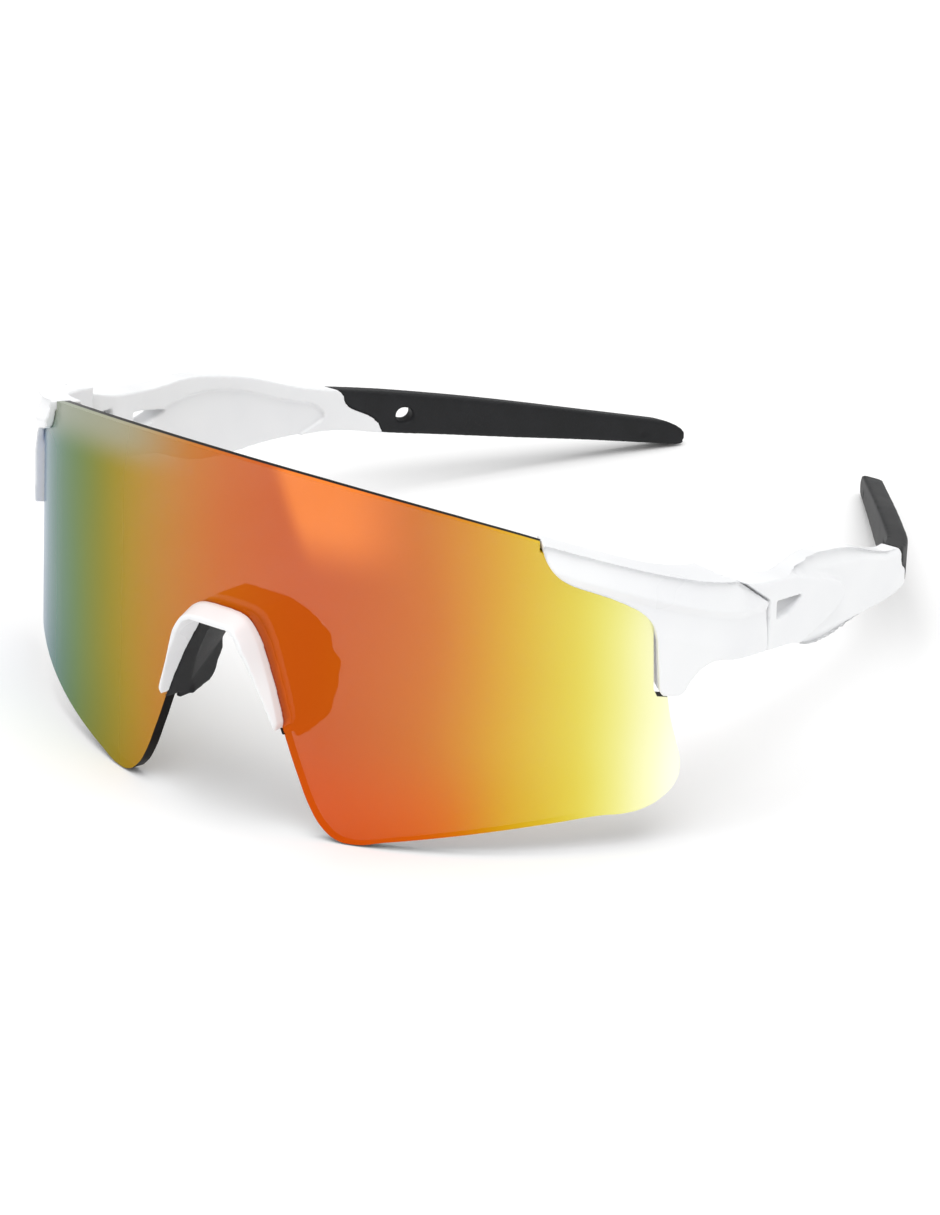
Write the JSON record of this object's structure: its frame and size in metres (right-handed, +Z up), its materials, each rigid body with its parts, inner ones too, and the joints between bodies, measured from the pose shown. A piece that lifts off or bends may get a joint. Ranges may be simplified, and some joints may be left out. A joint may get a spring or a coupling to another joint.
{
  "type": "wraparound sport sunglasses",
  "caption": "Wraparound sport sunglasses with a one-piece mirrored shield lens, a nose clip with a soft pad, and folding temples with soft tips.",
  "frame": {"origin": "centre of the bounding box in plan, at the floor the open glasses stand on", "axes": "+X to the wearer's left, +Y from the lens back to the temple tips, +Z up"},
  "size_m": [0.138, 0.1594, 0.0595],
  "materials": {
    "lens_mirror": "polycarbonate with a coloured mirror coating that runs from blue-green through gold and orange to pale yellow",
    "frame_white": "white moulded plastic, smooth satin gloss",
    "rubber_black": "matt black soft rubber",
    "steel": "plain steel",
    "brass": "plain turned brass"
  },
  "bodies": {
    "front": {"shield_lens": "lens_mirror", "end_piece_left": "frame_white", "end_piece_right": "frame_white", "hinge_bush_left": "brass", "hinge_bush_right": "brass", "nose_clip": "frame_white", "nose_pad": "rubber_black", "nose_core": "steel"},
    "temple_left_arm": {"temple_left": "frame_white", "temple_tip_left": "rubber_black", "temple_core_left": "steel", "hinge_screw_left": "steel", "hinge_nut_left": "steel"},
    "temple_right_arm": {"temple_right": "frame_white", "temple_tip_right": "rubber_black", "temple_core_right": "steel", "hinge_screw_right": "steel", "hinge_nut_right": "steel"}
  },
  "joints": [
    {"name": "fold_left", "type": "hinge", "parent": "front", "child": "temple_left_arm", "pos_m": [0.0636, -0.03254, 0.03382], "axis": [0, 0.0976, 0.9952], "range_deg": [0, 66]},
    {"name": "fold_right", "type": "hinge", "parent": "front", "child": "temple_right_arm", "pos_m": [-0.0636, -0.03254, 0.03382], "axis": [0, -0.0976, -0.9952], "range_deg": [0, 50]}
  ]
}
